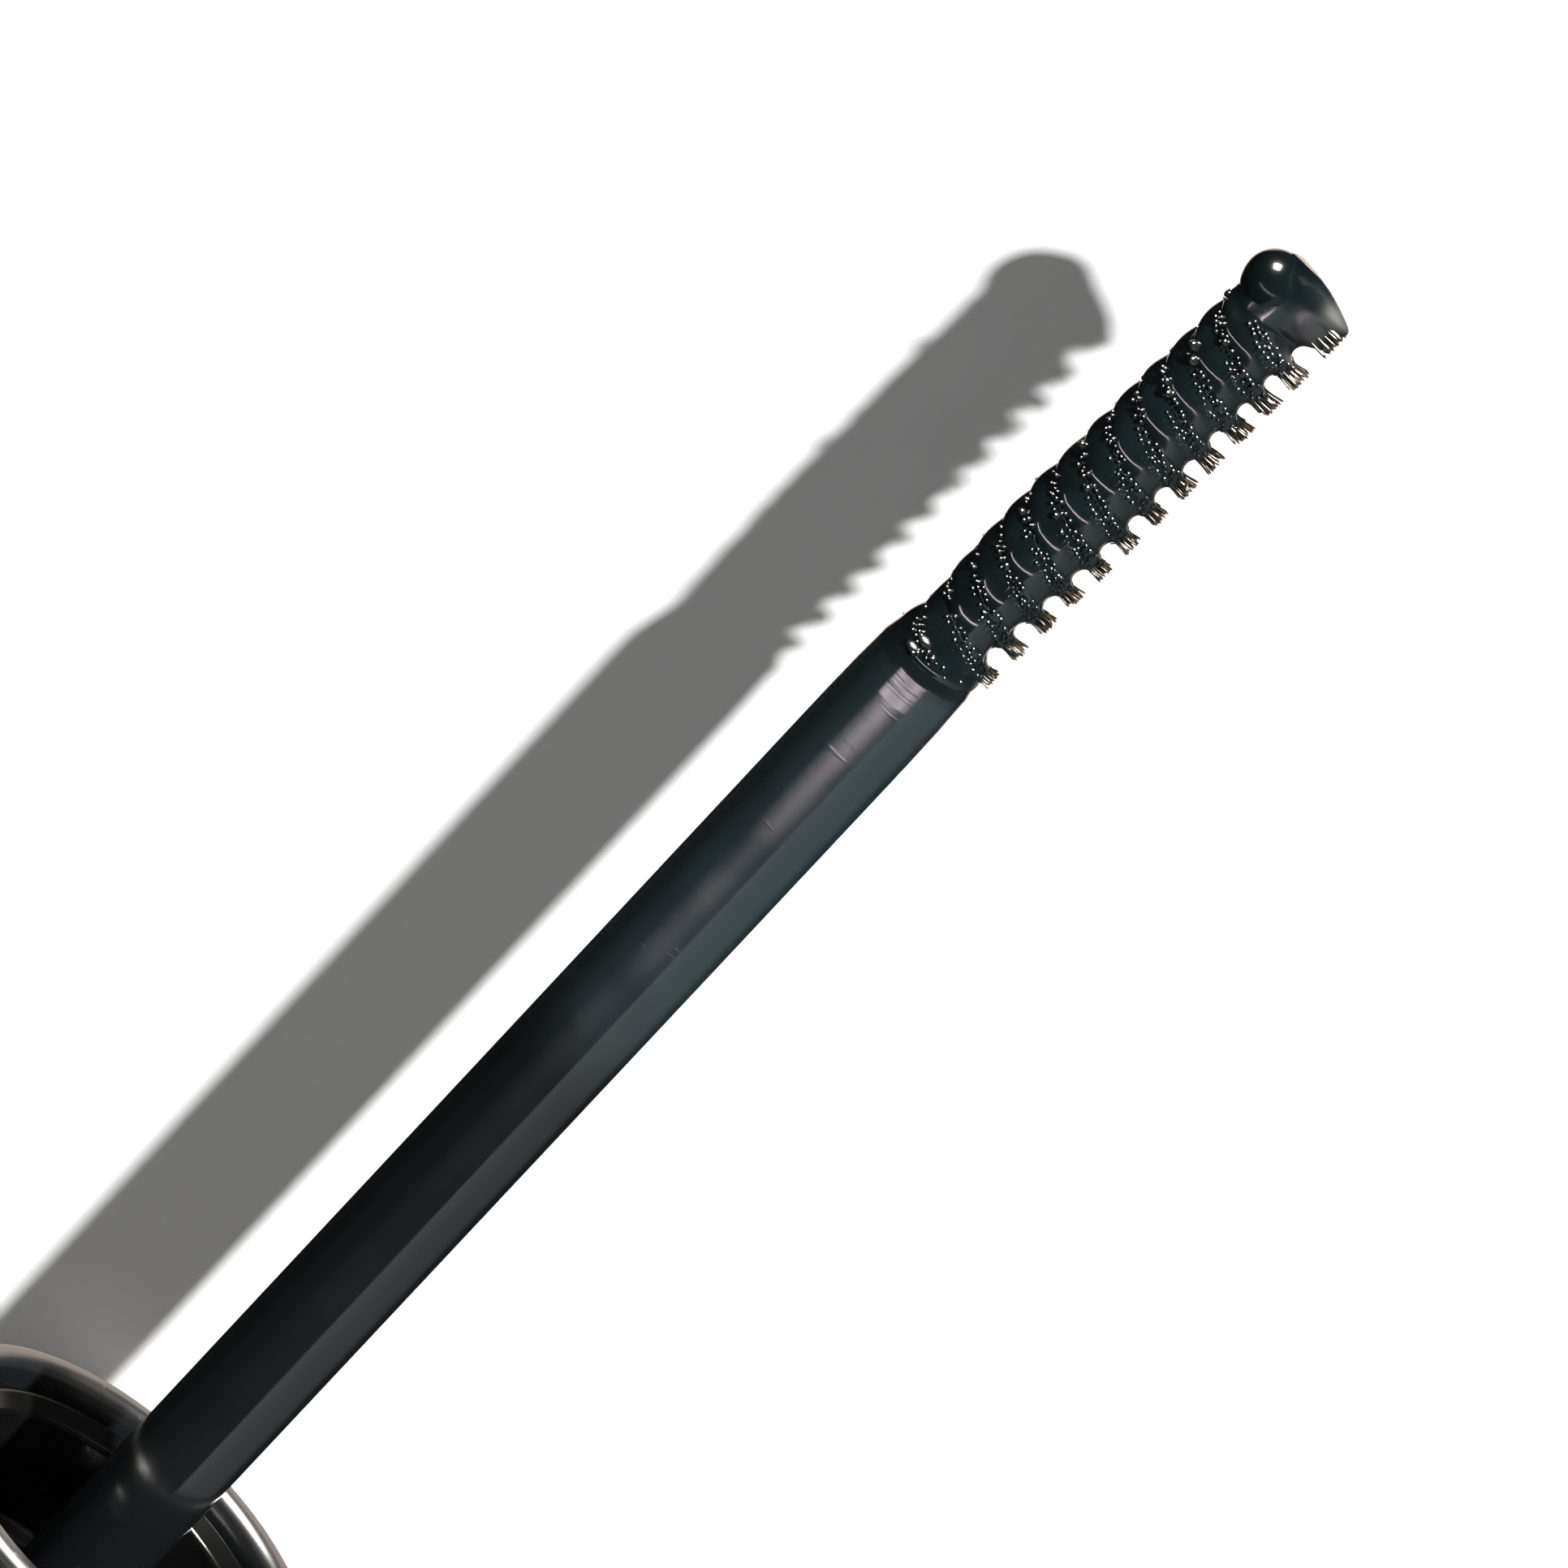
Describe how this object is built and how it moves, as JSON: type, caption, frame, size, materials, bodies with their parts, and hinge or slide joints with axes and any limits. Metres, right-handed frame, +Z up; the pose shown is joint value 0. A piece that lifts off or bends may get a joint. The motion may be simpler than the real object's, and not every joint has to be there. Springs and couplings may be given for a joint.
{
  "type": "mascara tube",
  "caption": "Round black mascara lying open: a screw cap with a long stem and a helical comb brush, drawn out of its tube with neck, wiper and product.",
  "frame": {"origin": "under the middle of the whole open mascara, on the surface that it lies on", "axes": "+X along the wand from the cap to the brush and on to the tube's base, +Z up, the brush's long teeth point to -Y"},
  "size_m": [0.235, 0.019, 0.019],
  "materials": {
    "cap_gloss": "glossy moulded cap shell",
    "disc_gloss": "glossy pressed-in end disc",
    "weight_steel": "plain turned steel, hidden in the cap",
    "inner_cap_plastic": "smooth dark moulding",
    "washer_foam": "soft white sealing foam",
    "stem_satin": "satin black, with fine marks across it",
    "comb_plastic": "dark brown-black moulding, wet with product",
    "collar_gloss": "glossy black ring",
    "tube_gloss": "glossy black sleeve",
    "bottle_plastic": "smooth dark moulding",
    "wiper_rubber": "soft grey wiper",
    "product_wet": "wet black mascara",
    "plug_satin": "satin black moulding",
    "label_paper": "blank paper label"
  },
  "bodies": {
    "bottle": {"outer_tube": "tube_gloss", "shoulder_collar": "collar_gloss", "inner_bottle": "bottle_plastic", "wiper": "wiper_rubber", "mascara_fill": "product_wet", "base_plug": "plug_satin", "base_label": "label_paper"},
    "washer": {"sealing_washer": "washer_foam"},
    "wand": {"cap_shell": "cap_gloss", "cap_top_disc": "disc_gloss", "cap_weight": "weight_steel", "inner_cap": "inner_cap_plastic", "stem": "stem_satin", "brush_comb": "comb_plastic"}
  },
  "joints": [
    {"name": "wand_slide", "type": "slide", "parent": "bottle", "child": "washer", "axis": [1, 0, 0], "range_m": [0, 0.11087], "deforming": ["wiper"]},
    {"name": "cap_twist", "type": "hinge", "parent": "washer", "child": "wand", "pos_m": [-0.0854, 0, 0.0095], "axis": [1, 0, 0], "range_deg": [0, 360]}
  ]
}
